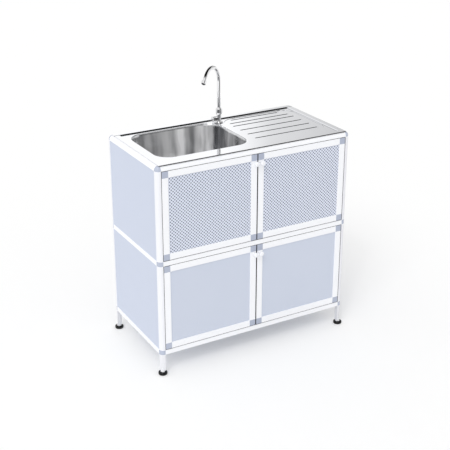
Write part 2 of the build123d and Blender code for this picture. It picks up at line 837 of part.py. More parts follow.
# Overflow on the bowl's right wall, square to the wall's draft
wall_lean = radians(bowl_draft)
wall_through = sheet * (cos(wall_lean) + sin(wall_lean))
overflow_x = bowl_right - overflow_drop * tan(wall_lean)
overflow_plane = Plane(
    origin=(overflow_x, overflow_y, overflow_z),
    x_dir=(0, 1, 0),
    z_dir=(-cos(wall_lean), 0, sin(wall_lean)),
)
with BuildPart() as overflow_rosette:
    with BuildSketch(overflow_plane):
        Circle(rosette_radius)
        with PolarLocations(rosette_radius * 0.5, rosette_slots):
            Circle(rosette_hole_radius, mode=Mode.SUBTRACT)
    extrude(amount=rosette_thick)
    chamfer(overflow_rosette.edges().group_by(SortBy.LENGTH)[-1].sort_by(Axis.X)[0], rosette_edge)
overflow_rosette.part.label = "overflow_rosette"
export_step(overflow_rosette.part, "parts/overflow_rosette.step")

pipe_level = waste_shoulder + overflow_pipe_radius + waste_wall
pipe_x = overflow_x + sheet + overflow_head / 2
to_waste = Vector(bowl_middle_x - pipe_x, bowl_middle_y - overflow_y, 0)
pipe_end = Vector(bowl_middle_x, bowl_middle_y, pipe_level) - to_waste.normalized() * (waste_radius + pipe_play)
with BuildPart() as overflow_pipe:
    with BuildSketch(overflow_plane.offset(-wall_through - seat_play)):
        Circle(overflow_head_radius)
    extrude(amount=-overflow_head)
    with BuildLine() as route:
        FilletPolyline(
            (pipe_x, overflow_y, overflow_z),
            (pipe_x, overflow_y, pipe_level),
            pipe_end,
            radius=overflow_bend,
        )
    with BuildSketch(Plane(origin=route.line @ 0, z_dir=route.line % 0)):
        Circle(overflow_pipe_radius)
    sweep(path=route.line)
overflow_pipe.part.label = "overflow_pipe"
export_step(overflow_pipe.part, "parts/overflow_pipe.step")

# Bottle trap under the waste, with its outlet to the back
neck_top = tail_end + trap_neck
neck_foot = tail_end - trap_wall
trap_floor = neck_foot - trap_height
trap_axis_z = neck_top - trap_outlet_drop
socket_bore = waste_tail_radius + pipe_play
socket_end = bowl_middle_y + trap_radius + trap_neck
with BuildPart() as trap_head:
    with BuildSketch(Plane.XY.offset(trap_floor)):
        with Locations((bowl_middle_x, bowl_middle_y)):
            Circle(trap_radius)
    extrude(amount=trap_height)
    with BuildSketch(Plane.XY.offset(neck_foot)):
        with Locations((bowl_middle_x, bowl_middle_y)):
            Circle(trap_neck_radius)
    extrude(amount=neck_top - neck_foot)
    with BuildSketch(Plane(origin=(bowl_middle_x, bowl_middle_y, trap_axis_z), z_dir=(0, 1, 0))):
        Circle(trap_neck_radius)
    extrude(amount=socket_end - bowl_middle_y)
    with BuildSketch(Plane.XY.offset(trap_floor)):
        with Locations((bowl_middle_x, bowl_middle_y)):
            Circle(trap_radius - trap_wall)
    extrude(amount=trap_height - trap_wall, mode=Mode.SUBTRACT)
    with BuildSketch(Plane(origin=(bowl_middle_x, bowl_middle_y, trap_axis_z), z_dir=(0, 1, 0))):
        Circle(socket_bore)
    extrude(amount=socket_end - bowl_middle_y, mode=Mode.SUBTRACT)
    with BuildSketch(Plane.XY.offset(trap_floor)):
        with Locations((bowl_middle_x, bowl_middle_y)):
            Circle(waste_tail_radius - pipe_wall)
    extrude(amount=trap_height)
    with BuildSketch(Plane.XY.offset(trap_floor)):
        with Locations((bowl_middle_x, bowl_middle_y)):
            Circle(waste_tail_radius - 2 * pipe_wall)
    extrude(amount=neck_top - trap_floor, mode=Mode.SUBTRACT)
    with BuildSketch(Plane.XY.offset(tail_end)):
        with Locations((bowl_middle_x, bowl_middle_y)):
            Circle(socket_bore)
    extrude(amount=neck_top - tail_end, mode=Mode.SUBTRACT)
trap_head.part.label = "trap_head"
export_step(trap_head.part, "parts/trap_head.step")

cup_top = trap_floor + trap_cup_lap
with BuildPart() as trap_cup:
    with BuildSketch(Plane.XY.offset(cup_top - trap_cup_height)) as cup_outline:
        with Locations((bowl_middle_x, bowl_middle_y)):
            Circle(trap_radius + trap_wall)
            with PolarLocations(trap_radius + trap_wall, trap_cup_ribs):
                Circle(trap_wall / 2)
    extrude(amount=trap_cup_height)
    with BuildSketch(Plane.XY.offset(cup_top)):
        with Locations((bowl_middle_x, bowl_middle_y)):
            Circle(trap_radius + pipe_play)
    extrude(amount=trap_wall - trap_cup_height, mode=Mode.SUBTRACT)
trap_cup.part.label = "trap_cup"
export_step(trap_cup.part, "parts/trap_cup.step")

nut_planes = (
    Plane(origin=(bowl_middle_x, bowl_middle_y, neck_top), z_dir=(0, 0, -1)),
    Plane(origin=(bowl_middle_x, socket_end, trap_axis_z), z_dir=(0, -1, 0)),
)
with BuildPart() as trap_nuts:
    for plane in nut_planes:
        with BuildSketch(plane.offset(-trap_nut_end)):
            RegularPolygon(trap_nut_radius, 8)
        extrude(amount=trap_nut_height)
        with BuildSketch(plane):
            Circle(trap_neck_radius + pipe_play)
        extrude(amount=trap_nut_height, mode=Mode.SUBTRACT)
        with BuildSketch(plane):
            Circle(socket_bore)
        extrude(amount=-trap_nut_end, mode=Mode.SUBTRACT)
trap_nuts.part.label = "trap_nuts"
export_step(trap_nuts.part, "parts/trap_nuts.step")

outlet_start = bowl_middle_y + trap_radius
ring_start = socket_end + trap_nut_end + pipe_play
with BuildPart() as outlet_pipe:
    with BuildSketch(Plane(origin=(bowl_middle_x, outlet_start, trap_axis_z), z_dir=(0, 1, 0))):
        Circle(waste_tail_radius)
        Circle(waste_tail_radius - pipe_wall, mode=Mode.SUBTRACT)
    extrude(amount=back - outlet_back_gap - outlet_start)
    with BuildSketch(Plane(origin=(bowl_middle_x, ring_start, trap_axis_z), z_dir=(0, 1, 0))):
        Circle(waste_tail_radius + pipe_wall)
        Circle(waste_tail_radius - pipe_wall, mode=Mode.SUBTRACT)
    extrude(amount=pipe_wall)
outlet_pipe.part.label = "outlet_pipe"
export_step(outlet_pipe.part, "parts/outlet_pipe.step")

# Tap
tap_foot = deck_top + tap_gasket
tap_shoulder = deck_top + tap_height
sleeve_top = tap_shoulder + tap_nut_height - tap_nut_end
sleeve_floor = tap_shoulder - spout_radius
tap_axis = Axis((tap_x, tap_y, 0), (0, 0, 1))
tap_plane = Plane(origin=(tap_x, tap_y, 0), x_dir=(1, 0, 0), z_dir=(0, -1, 0))
boss_end = tap_x - valve_boss_reach

with BuildPart() as tap_washer:
    with BuildSketch(Plane.XY.offset(deck_top)):
        with Locations((tap_x, tap_y)):
            Circle(tap_flange_radius)
            Circle(tap_hole_radius, mode=Mode.SUBTRACT)
    extrude(amount=tap_gasket)
tap_washer.part.label = "tap_washer"
export_step(tap_washer.part, "parts/tap_washer.step")

with BuildPart() as tap_body:
    with BuildSketch(tap_plane):
        with BuildLine():
            Polyline(
                (tap_shank_bore, tap_foot - tap_shank - tap_tail),
                (tap_tail_radius, tap_foot - tap_shank - tap_tail),
                (tap_tail_radius, tap_foot - tap_shank),
                (tap_shank_radius, tap_foot - tap_shank),
                (tap_shank_radius, tap_foot),
                (tap_flange_radius, tap_foot),
                (tap_flange_radius, tap_foot + tap_flange / 3),
            )
            Polyline(
                (tap_flange_radius, tap_foot + tap_flange / 3),
                (tap_radius + tap_flange / 3, tap_foot + tap_flange),
                (tap_radius, tap_foot + 2 * tap_flange),
                (tap_radius, sleeve_top),
                (spout_radius + running_play, sleeve_top),
                (spout_radius + running_play, sleeve_floor),
                (tap_shank_bore, sleeve_floor),
                (tap_shank_bore, tap_foot - tap_shank - tap_tail),
            )
        make_face()
    revolve(axis=tap_axis)
    with BuildSketch(Plane.YZ.offset(boss_end)):
        with Locations((tap_y, deck_top + valve_rise)):
            Circle(valve_boss_radius)
    extrude(amount=valve_boss_reach - tap_shank_bore)
    with BuildSketch(Plane.YZ.offset(boss_end)):
        with Locations((tap_y, deck_top + valve_rise)):
            Circle(valve_spindle_radius + running_play)
    extrude(amount=valve_boss_reach - tap_shank_bore, mode=Mode.SUBTRACT)
tap_body.part.label = "tap_body"
export_step(tap_body.part, "parts/tap_body.step")

with BuildPart() as tap_back_nut:
    with BuildSketch(Plane.XY.offset(deck_top - sheet)):
        with Locations((tap_x, tap_y)):
            RegularPolygon(back_nut_radius, 6)
            Circle(tap_shank_radius + running_play, mode=Mode.SUBTRACT)
    extrude(amount=-back_nut_height)
tap_back_nut.part.label = "tap_back_nut"
export_step(tap_back_nut.part, "parts/tap_back_nut.step")

nut_top = tap_shoulder + tap_nut_height
with BuildPart() as spout_nut:
    with BuildSketch(tap_plane):
        with BuildLine():
            Polyline(
                (tap_radius + tap_nut_lip, tap_shoulder),
                (tap_radius + running_play, tap_shoulder),
                (tap_radius + running_play, nut_top - tap_nut_end / 2),
                (spout_radius + running_play, nut_top - tap_nut_end / 2),
                (spout_radius + running_play, nut_top),
                (tap_radius + tap_nut_lip, nut_top),
                (tap_nut_radius, nut_top - tap_nut_cone),
                (tap_nut_radius, tap_shoulder + tap_nut_cone),
                close=True,
            )
        make_face()
    revolve(axis=tap_axis)
spout_nut.part.label = "spout_nut"
export_step(spout_nut.part, "parts/spout_nut.step")

# Swan-neck spout, in the upright plane of its heading. Its bead is held between sleeve and nut.
heading = radians(spout_heading)
spout_plane = Plane(
    origin=(tap_x, tap_y, deck_top),
    x_dir=(cos(heading), sin(heading), 0),
    z_dir=(sin(heading), -cos(heading), 0),
)
spout_foot = sleeve_floor + running_play
with BuildPart() as spout:
    with BuildLine(spout_plane) as neck:
        riser = Line((0, spout_foot - deck_top), (0, spout_rise))
        bend = CenterArc((spout_bend, spout_rise), spout_bend, 180, -spout_turn)
        end_x = spout_bend - spout_bend * cos(radians(spout_turn)) + spout_end * sin(radians(spout_turn))
        end_z = spout_rise + spout_bend * sin(radians(spout_turn)) + spout_end * cos(radians(spout_turn))
        Line(
            (
                spout_bend - spout_bend * cos(radians(spout_turn)),
                spout_rise + spout_bend * sin(radians(spout_turn)),
            ),
            (end_x, end_z),
        )
    with BuildSketch(Plane.XY.offset(spout_foot)):
        with Locations((tap_x, tap_y)):
            Circle(spout_radius)
            Circle(spout_radius - spout_wall, mode=Mode.SUBTRACT)
    sweep(path=neck.line)
    with BuildSketch(Plane.XY.offset(sleeve_top)):
        with Locations((tap_x, tap_y)):
            Circle(spout_radius + spout_bead)
            Circle(spout_radius - spout_wall, mode=Mode.SUBTRACT)
    extrude(amount=tap_nut_end / 2 - running_play)
spout.part.label = "spout"
export_step(spout.part, "parts/spout.step")

outlet_way = Vector(neck.line % 1)
outlet_point = Vector(neck.line @ 1)
with BuildPart() as aerator:
    with BuildSketch(Plane(origin=outlet_point - outlet_way * aerator_lap, z_dir=outlet_way)):
        Circle(aerator_radius)
    extrude(amount=aerator_length)
    chamfer(aerator.edges().filter_by(GeomType.CIRCLE).sort_by(Axis.Z)[0], aerator_edge)
    with BuildSketch(Plane(origin=outlet_point - outlet_way * aerator_lap, z_dir=outlet_way)):
        Circle(spout_radius + seat_play)
    extrude(amount=aerator_lap, mode=Mode.SUBTRACT)
    with BuildSketch(Plane(origin=outlet_point, z_dir=outlet_way)):
        Circle(aerator_bore)
    extrude(amount=aerator_length - aerator_lap, mode=Mode.SUBTRACT)
aerator.part.label = "aerator"
export_step(aerator.part, "parts/aerator.step")

# Quarter-turn handle on the left of the tap, with the spindle that it turns
handle_start = boss_end - handle_gap
with BuildPart() as tap_handle:
    with BuildSketch(Plane.YZ.offset(handle_start)):
        with Locations((tap_y, deck_top + valve_rise)):
            Circle(handle_radius)
            with PolarLocations(handle_radius + handle_flute * 0.4, handle_flutes):
                Circle(handle_flute, mode=Mode.SUBTRACT)
    extrude(amount=-handle_length)
    chamfer(tap_handle.faces().sort_by(Axis.X)[0].edges(), handle_edge)
    with BuildSketch(Plane.YZ.offset(handle_start)):
        with Locations((tap_y, deck_top + valve_rise)):
            Circle(valve_spindle_radius + seat_play)
    extrude(amount=-valve_spindle_hold - handle_gap, mode=Mode.SUBTRACT)
tap_handle.part.label = "tap_handle"
export_step(tap_handle.part, "parts/tap_handle.step")

with BuildPart() as valve_spindle:
    with BuildSketch(Plane.YZ.offset(handle_start - valve_spindle_hold)):
        with Locations((tap_y, deck_top + valve_rise)):
            Circle(valve_spindle_radius)
    extrude(amount=valve_spindle_hold + handle_gap + valve_boss_reach - tap_shank_bore)
valve_spindle.part.label = "valve_spindle"
export_step(valve_spindle.part, "parts/valve_spindle.step")
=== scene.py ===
import json
import math

import bmesh
import bpy
from mathutils import Matrix, Vector


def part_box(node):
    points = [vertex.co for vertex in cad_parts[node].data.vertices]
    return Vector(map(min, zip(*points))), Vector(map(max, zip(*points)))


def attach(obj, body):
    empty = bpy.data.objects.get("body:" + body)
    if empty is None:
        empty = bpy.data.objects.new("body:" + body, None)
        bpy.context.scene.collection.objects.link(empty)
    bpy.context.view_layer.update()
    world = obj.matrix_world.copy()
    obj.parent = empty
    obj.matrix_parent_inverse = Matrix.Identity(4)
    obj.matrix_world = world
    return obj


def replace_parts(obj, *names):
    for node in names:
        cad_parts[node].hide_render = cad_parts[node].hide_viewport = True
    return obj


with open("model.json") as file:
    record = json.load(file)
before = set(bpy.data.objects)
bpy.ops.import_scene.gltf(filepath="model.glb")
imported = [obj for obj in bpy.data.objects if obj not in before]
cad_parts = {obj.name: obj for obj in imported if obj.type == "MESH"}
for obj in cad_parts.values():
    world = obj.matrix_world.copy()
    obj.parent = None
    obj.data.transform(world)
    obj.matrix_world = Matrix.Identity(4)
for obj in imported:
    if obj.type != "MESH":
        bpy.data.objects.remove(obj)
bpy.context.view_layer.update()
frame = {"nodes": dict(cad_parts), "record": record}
nodes = frame["nodes"]
record = frame["record"]
print("frame loaded:", len(nodes), "nodes")


class Signal:
    # a node socket that takes part in Python expressions
    def __init__(self, board, socket):
        self.board = board
        self.socket = socket

    def maths(self, operation, first, second):
        return self.board.make("ShaderNodeMath", {"operation": operation}, [first, second])

    def __add__(self, other):
        return self.maths("ADD", self, other)

    def __radd__(self, other):
        return self.maths("ADD", other, self)

    def __sub__(self, other):
        return self.maths("SUBTRACT", self, other)

    def __rsub__(self, other):
        return self.maths("SUBTRACT", other, self)

    def __mul__(self, other):
        return self.maths("MULTIPLY", self, other)

    def __rmul__(self, other):
        return self.maths("MULTIPLY", other, self)

    def __truediv__(self, other):
        return self.maths("DIVIDE", self, other)

    def __rtruediv__(self, other):
        return self.maths("DIVIDE", other, self)

    def size(self):
        return self.board.make("ShaderNodeMath", {"operation": "ABSOLUTE"}, [self])

    def above(self, limit):
        return self.maths("GREATER_THAN", self, limit)

    def below(self, limit):
        return self.maths("LESS_THAN", self, limit)

    def between(self, low, high):
        return self.above(low) * self.below(high)

    def larger(self, other):
        return self.maths("MAXIMUM", self, other)

    def smaller(self, other):
        return self.maths("MINIMUM", self, other)

    def rise(self, low, high):
        # 0 at low, 1 at high, and smooth in between; low may be the larger of the two
        inputs = {"Value": self, "From Min": low, "From Max": high}
        return self.board.make("ShaderNodeMapRange", {"interpolation_type": "SMOOTHSTEP"}, inputs)


class Board:
    # one node tree, and the nodes that the materials share
    def __init__(self, tree):
        self.tree = tree
        tree.nodes.clear()

    def make(self, kind, settings=None, inputs=None, output=0):
        node = self.tree.nodes.new(kind)
        for key, value in (settings or {}).items():
            if key == "stops":
                self.setStops(node.color_ramp, value)
            else:
                setattr(node, key, value)
        pairs = inputs.items() if isinstance(inputs, dict) else enumerate(inputs or [])
        for key, value in pairs:
            if isinstance(value, Signal):
                self.tree.links.new(value.socket, node.inputs[key])
            else:
                node.inputs[key].default_value = value
        if node.outputs:
            return Signal(self, node.outputs[output])

    def setStops(self, ramp, stops):
        while len(ramp.elements) < len(stops):
            ramp.elements.new(0.5)
        for element, (place, colour) in zip(ramp.elements, stops):
            element.position = place
            element.color = colour

    def place(self, stretch=(1, 1, 1)):
        # a point's place on the unit, in metres
        spot = self.make("ShaderNodeTexCoord", output="Object")
        return self.make("ShaderNodeVectorMath", {"operation": "MULTIPLY"}, [spot, stretch])

    def facing(self):
        return self.make("ShaderNodeTexCoord", output="Normal")

    def ray(self, kind):
        # a Camera ray is what the picture shows itself, a Glossy one is what polished metal sees
        return self.make("ShaderNodeLightPath", output=f"Is {kind} Ray")

    def parts(self, vector):
        split = self.make("ShaderNodeSeparateXYZ", None, [vector]).socket.node
        return [Signal(self, split.outputs[index]) for index in range(3)]

    def dot(self, first, second):
        settings = {"operation": "DOT_PRODUCT"}
        return self.make("ShaderNodeVectorMath", settings, [first, second], output="Value")

    def noise(self, scale, detail=3, rough=0.55, stretch=(1, 1, 1)):
        inputs = {"Vector": self.place(stretch), "Scale": scale, "Detail": detail, "Roughness": rough}
        return self.make("ShaderNodeTexNoise", None, inputs)

    def ramp(self, bands, along):
        stops = [(place, grey(value)) for place, value in bands]
        return self.make("ShaderNodeValToRGB", {"stops": stops}, [along])

    def mixColour(self, factor, first, second):
        # 6, 7 and 2 are the places of the Mix node's sockets for colour
        return self.make("ShaderNodeMix", {"data_type": "RGBA"}, {0: factor, 6: first, 7: second}, output=2)

    def bump(self, height, strength=1, distance=1):
        inputs = {"Strength": strength, "Distance": distance, "Height": height}
        return self.make("ShaderNodeBump", None, inputs)


def grey(value):
    return (value, value, value, 1)


def colour(red, green, blue):
    # a colour as seen on screen, 0 to 255, turned into scene light
    def toLinear(value):
        value = value / 255
        return value / 12.92 if value <= 0.04045 else ((value + 0.055) / 1.055) ** 2.4
    return (toLinear(red), toLinear(green), toLinear(blue), 1)


finishes = {}


def newMaterial(name, recipe):
    material = bpy.data.materials.new(name)
    material.use_nodes = True
    board = Board(material.node_tree)
    shader = board.make("ShaderNodeBsdfPrincipled", None, recipe(board))
    board.make("ShaderNodeOutputMaterial", None, {"Surface": shader})
    return material


def addFinishes(kind, looks):
    for name, look in looks.items():
        finishes[name] = newMaterial(name, kind(look))


doorGapShade = {  # painted shade: a dark strip in the gaps round each door, and how wide its lip shows from the front, in metres
    "colour": colour(34, 35, 39),
    "depth": 0.007,  # it lies in the front of the door's edge
    "innerLip": 0.001,
    "leftLip": 0.0003,
    "rightLip": 0.0014,
    "topLip": 0.0006,
    "bottomLip": 0.0013,
}


def doorGapShadeMask(board):
    # 1 on the painted shade strips of all four doors: left and right mirror each other, and the rows are
    # alike
    low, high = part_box("lower_right_door_frame")
    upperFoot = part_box("upper_right_door_frame")[0][2]
    betweenRows = (high[2] + upperFoot) / 2
    east, north, upward = board.parts(board.place())
    height = upward - (upperFoot - low[2]) * upward.above(betweenRows)
    inner = east.size().below(low[0] + doorGapShade["innerLip"])
    left = east.below(doorGapShade["leftLip"] - high[0])
    right = east.above(high[0] - doorGapShade["rightLip"])
    top = height.above(high[2] - doorGapShade["topLip"])
    bottom = height.below(low[2] + doorGapShade["bottomLip"])
    edges = inner.larger(left).larger(right).larger(top).larger(bottom)
    return edges * north.below(low[1] + doorGapShade["depth"])


rimShadowLine = {  # painted shadow: a dark line in the joint between the sink's front rim and the frame, in metres
    "colour": colour(30, 30, 33),
    "width": 0.0055,
    "depth": 0.0025,
}


def rimShadowLineMask(board):
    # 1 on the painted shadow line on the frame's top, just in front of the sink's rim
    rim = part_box("sink_top")[0][1]
    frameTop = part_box("front_rails")[1][2]
    north, upward = board.parts(board.place())[1:]
    return north.between(rim - rimShadowLine["width"], rim) * upward.above(frameTop - rimShadowLine["depth"])


grain = {  # what the finishes share
    "coatRough": 0.08,  # share of the mottling in a coat's roughness
    "plasticRough": 0.1,
    "paintedShadeRough": 0.25,
    "plasticCloud": 25,
    "peelHeight": 0.0002,  # metres
    "streakHeight": 0.0001,
}


def withPaintedShade(board, look, shade, rough):
    # the painted shade strips and lines drawn in, on the finishes that have them
    if "paintedShade" not in look:
        return shade, rough
    strip = look["paintedShade"](board)
    return board.mixColour(strip, shade, look["paintedShadeColour"]), rough + grain["paintedShadeRough"] * strip


def coated(look):
    # powder coat or satin lacquer: faint mottling and orange peel
    def recipe(board):
        cloud = board.noise(look["cloudScale"])
        peel = board.noise(look["peelScale"], detail=2)
        shade = board.mixColour(cloud, look["colour"], look["shade"])
        shade, rough = withPaintedShade(board, look, shade, look["rough"] + grain["coatRough"] * cloud)
        return {
            "Base Color": shade,
            "Roughness": rough,
            "Normal": board.bump(peel, look["peel"], grain["peelHeight"]),
            "Specular IOR Level": look["gloss"],
        }
    return recipe


whiteLook = {
    "colour": colour(247, 248, 251), "shade": colour(243, 244, 248), "cloudScale": 6,
    "peelScale": 900, "peel": 0.08, "rough": 0.42, "gloss": 0.4,
}

addFinishes(coated, {
    "whiteCoat": whiteLook,
    # painted shade in the door gaps, and a painted shadow line under the sink's front rim
    "doorCoat": {**whiteLook, "paintedShade": doorGapShadeMask, "paintedShadeColour": doorGapShade["colour"]},
    "topCoat": {**whiteLook, "paintedShade": rimShadowLineMask, "paintedShadeColour": rimShadowLine["colour"]},
    # painted shade: darker copies of the same white coat on the posts and legs, for how the light falls on
    # them
    "postCoatPaintedShade": {**whiteLook, "colour": colour(237, 238, 243), "shade": colour(234, 235, 240)},
    "legCoatPaintedShade": {**whiteLook, "colour": colour(230, 231, 235), "shade": colour(226, 227, 231)},
    "sideSheet": {
        "colour": colour(202, 209, 225), "shade": colour(199, 206, 222), "cloudScale": 4,
        "peelScale": 700, "peel": 0.06, "rough": 0.52, "gloss": 0.3,
    },
    "doorSheet": {
        "colour": colour(204, 210, 224), "shade": colour(200, 207, 222), "cloudScale": 4,
        "peelScale": 700, "peel": 0.06, "rough": 0.55, "gloss": 0.25,
    },
    "piercedSheet": {
        "colour": colour(224, 229, 242), "shade": colour(221, 226, 240), "cloudScale": 5,
        "peelScale": 700, "peel": 0.04, "rough": 0.55, "gloss": 0.2,
    },
    "holeShadeSheet": {  # painted shade: the dark sheet seen through the holes, in place of the shade inside the cabinet
        "colour": colour(124, 130, 146), "shade": colour(121, 127, 144), "cloudScale": 5,
        "peelScale": 700, "peel": 0.04, "rough": 0.6, "gloss": 0.2,
    },
})


def moulded(look):
    # moulded plastic or rubber: fine spark-eroded grain
    def recipe(board):
        fine = board.noise(look["grainScale"], detail=4)
        cloud = board.noise(grain["plasticCloud"])
        shade = board.mixColour(cloud, look["colour"], look["shade"])
        shade, rough = withPaintedShade(board, look, shade, look["rough"] + grain["plasticRough"] * fine)
        return {
            "Base Color": shade,
            "Roughness": rough,
            "Normal": board.bump(fine, look["grain"], grain["peelHeight"]),
            "Specular IOR Level": look["gloss"],
        }
    return recipe


blueLook = {
    "colour": colour(182, 189, 206), "shade": colour(177, 184, 202), "grainScale": 1400,
    "grain": 0.08, "rough": 0.13, "gloss": 0.6,
}

addFinishes(moulded, {
    "bluePlastic": blueLook,
    # the door corners carry the same painted shade in the door gaps
    "blueCorner": {**blueLook, "paintedShade": doorGapShadeMask, "paintedShadeColour": doorGapShade["colour"]},
    "whiteGloss": {
        "colour": colour(244, 245, 249), "shade": colour(240, 241, 246), "grainScale": 600,
        "grain": 0.02, "rough": 0.06, "gloss": 0.7,
    },
    "blackGloss": {
        "colour": colour(8, 8, 9), "shade": colour(12, 12, 13), "grainScale": 500,
        "grain": 0.02, "rough": 0.12, "gloss": 0.3,
    },
    "nylon": {
        "colour": colour(236, 237, 240), "shade": colour(228, 229, 233), "grainScale": 900,
        "grain": 0.1, "rough": 0.45, "gloss": 0.4,
    },
    "trapPlastic": {
        "colour": colour(238, 239, 241), "shade": colour(231, 232, 235), "grainScale": 700,
        "grain": 0.06, "rough": 0.3, "gloss": 0.5,
    },
    "rubber": {
        "colour": colour(38, 38, 40), "shade": colour(46, 46, 48), "grainScale": 800,
        "grain": 0.25, "rough": 0.62, "gloss": 0.3,
    },
})


def metal(look):
    # plated or turned metal: streaks along the working, soft clouds across it
    def recipe(board):
        streak = board.noise(look["streakScale"], detail=4)
        cloud = board.noise(look["cloudScale"])
        shade = board.mixColour(cloud, look["colour"], look["shade"])
        if "card" in look:
            # painted reflection: a black card's mirror image painted onto the bend of the spout
            side = board.dot(board.facing(), look["cardSide"]).rise(*look["cardEdge"])
            bend = board.parts(board.place())[2].rise(*look["cardLevel"])
            shade = board.mixColour(side * bend, shade, look["card"])
        return {
            "Base Color": shade,
            "Metallic": 1.0,
            "Roughness": look["rough"] + look["streakRough"] * streak,
            "Normal": board.bump(streak, look["streak"], grain["streakHeight"]),
        }
    return recipe


addFinishes(metal, {
    "chrome": {
        "colour": colour(244, 244, 245), "shade": colour(239, 239, 240), "cloudScale": 30,
        "streakScale": 60, "streak": 0.01, "rough": 0.02, "streakRough": 0.03,
        # colour of the painted reflection on the spout's bend
        "card": colour(8, 8, 9),
        "cardSide": (-0.45, -0.2, 0.87),  # the way that the painted dark reflection faces
        "cardEdge": (0.66, 0.8),
        "cardLevel": (1.138, 1.15),  # metres above the floor
    },
    "zinc": {
        "colour": colour(196, 198, 203), "shade": colour(180, 182, 188), "cloudScale": 60,
        "streakScale": 90, "streak": 0.05, "rough": 0.3, "streakRough": 0.15,
    },
    "brass": {
        "colour": colour(214, 182, 112), "shade": colour(196, 162, 92), "cloudScale": 60,
        "streakScale": 90, "streak": 0.04, "rough": 0.24, "streakRough": 0.12,
    },
})


sinkLow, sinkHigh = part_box("sink_top")
wasteLow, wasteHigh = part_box("waste_body")

steelLook = {
    "colour": colour(224, 225, 228),
    "shade": colour(219, 220, 223),
    "cloudScale": 5,
    "rough": 0.05,
    "scratchScale": 60,
    "stretch": (1, 30, 30),  # the scratches run from left to right
    "scratch": 0.000002,
    "scratchRough": 0.05,
    "deck": sinkHigh[2] - 0.0042,  # the rim stands above it; metres, as all heights and places here
    "fade": 0.012,  # from the deck down to the bowl's own look
    "bowlEnd": 0.04,  # the drainer starts here
    "bowlMiddle": ((wasteLow[0] + wasteHigh[0]) / 2, (wasteLow[1] + wasteHigh[1]) / 2, 0.84),
    "bowlRough": 0.035,
    "bowlSatin": 0.12,
    "waveScale": 16,
    "waveStretch": (1, 1, 0.03),
    "wave": 0.006,
    "bandStart": -0.575,  # the bands run round the bowl's back and right walls
    "bandLength": 0.745,
    "bandScale": 9,
    "bandSway": 0.035,
    "bandSatin": 0.75,
    # painted reflection: the dark and light ends of the bands on the bowl's walls
    "bandDark": colour(122, 123, 126),
    "bandLight": colour(250, 250, 251),
    "bands": (  # place along the walls, and brightness
        (0.0, 0.2), (0.06, 0.35), (0.1, 0.3), (0.14, 0.55), (0.2, 0.5), (0.25, 0.62), (0.295, 0.68),
        (0.315, 1.0), (0.35, 1.0), (0.375, 0.5), (0.42, 0.48), (0.44, 0.8), (0.48, 0.85), (0.5, 0.6),
        (0.53, 0.8), (0.56, 0.7), (0.59, 0.02), (0.7, 0.04), (0.735, 0.45), (0.78, 0.42), (0.82, 0.18),
        (1.0, 0.1),
    ),
    "swirlScale": 17,
    "swirlStretch": (1, 1, 0.22),
    "swirlEdge": (0.35, 0.65),
    "swirl": 0.28,
    "undercoat": colour(74, 76, 82),
    "underRough": 0.7,
    "underLevel": sinkHigh[2] - 0.0085,  # what is above it and faces outwards is rim or deck
    "underTilt": -0.5,  # what faces further down than this has the undercoat
    # painted shade and dark reflection: a dark line at the foot of the back rim and under the front hem
    "paintedDarkLine": colour(22, 22, 24),
    "paintedDarkLineDull": 0.8,  # share of the metal's shine that the painted dark line loses
    "backPaintedDarkLine": (sinkHigh[1] - 0.026, sinkHigh[1] - 0.0212),
    "rimFoot": sinkHigh[2] - 0.0038,
    "frontHem": sinkLow[1] + 0.0029,
}


def bowlLight(board, look, east, north):
    # painted reflection: the bands and swirls of light that the bowl's walls would mirror, 0 to 1
    sway = look["bandSway"] * (board.noise(look["bandScale"], detail=1) - 0.5)
    along = (east - north + sway - look["bandStart"]) / look["bandLength"]
    swirl = board.noise(look["swirlScale"], detail=2, stretch=look["swirlStretch"])
    swirl = swirl.rise(*look["swirlEdge"]) - 0.5
    light = board.parts(board.ramp(look["bands"], along))[0] + look["swirl"] * swirl
    return light.larger(0).smaller(1)


def sprayedUnderside(board, look, spot):
    # 1 where the sheet has its sprayed coat against drumming
    facing = board.facing()
    fromMiddle = board.make("ShaderNodeVectorMath", {"operation": "SUBTRACT"}, [spot, look["bowlMiddle"]])
    outside = board.dot(facing, fromMiddle).above(0) * board.parts(spot)[2].below(look["underLevel"])
    return outside.larger(board.parts(facing)[2].below(look["underTilt"]))


def pressedSteel(look):
    # polished sheet: fine scratches, and below the deck the slow waves that pressing leaves in the bowl
    def recipe(board):
        spot = board.place()
        east, north, upward = board.parts(spot)
        scratch = board.noise(look["scratchScale"], detail=5, stretch=look["stretch"])
        cloud = board.noise(look["cloudScale"])
        wave = board.noise(look["waveScale"], detail=0, stretch=look["waveStretch"])
        inBowl = upward.rise(look["deck"], look["deck"] - look["fade"]) * east.below(look["bowlEnd"])
        light = bowlLight(board, look, east, north)
        under = sprayedUnderside(board, look, spot)
        # painted shade and dark reflection: a dark line at the foot of the back rim and under the front hem
        paintedDarkLine = north.between(*look["backPaintedDarkLine"]) * upward.above(look["rimFoot"])
        paintedDarkLine = paintedDarkLine.larger(north.below(look["frontHem"]))
        shade = board.mixColour(cloud, look["colour"], look["shade"])
        # painted reflection: in the bowl the colour carries the bands of light and dark
        shade = board.mixColour(inBowl, shade, board.mixColour(light, look["bandDark"], look["bandLight"]))
        shade = board.mixColour(paintedDarkLine, shade, look["paintedDarkLine"])
        satin = (look["bowlSatin"] + look["bandSatin"] * light) * inBowl
        rough = look["rough"] + look["scratchRough"] * scratch + look["bowlRough"] * inBowl
        return {
            "Base Color": board.mixColour(under, shade, look["undercoat"]),
            "Metallic": (1 - under) * (1 - satin) * (1 - look["paintedDarkLineDull"] * paintedDarkLine),
            "Roughness": rough + look["underRough"] * under,
            "Normal": board.bump(scratch * look["scratch"] + wave * inBowl * look["wave"]),
        }
    return recipe


addFinishes(pressedSteel, {"stainless": steelLook})
print("finishes made:", len(finishes))

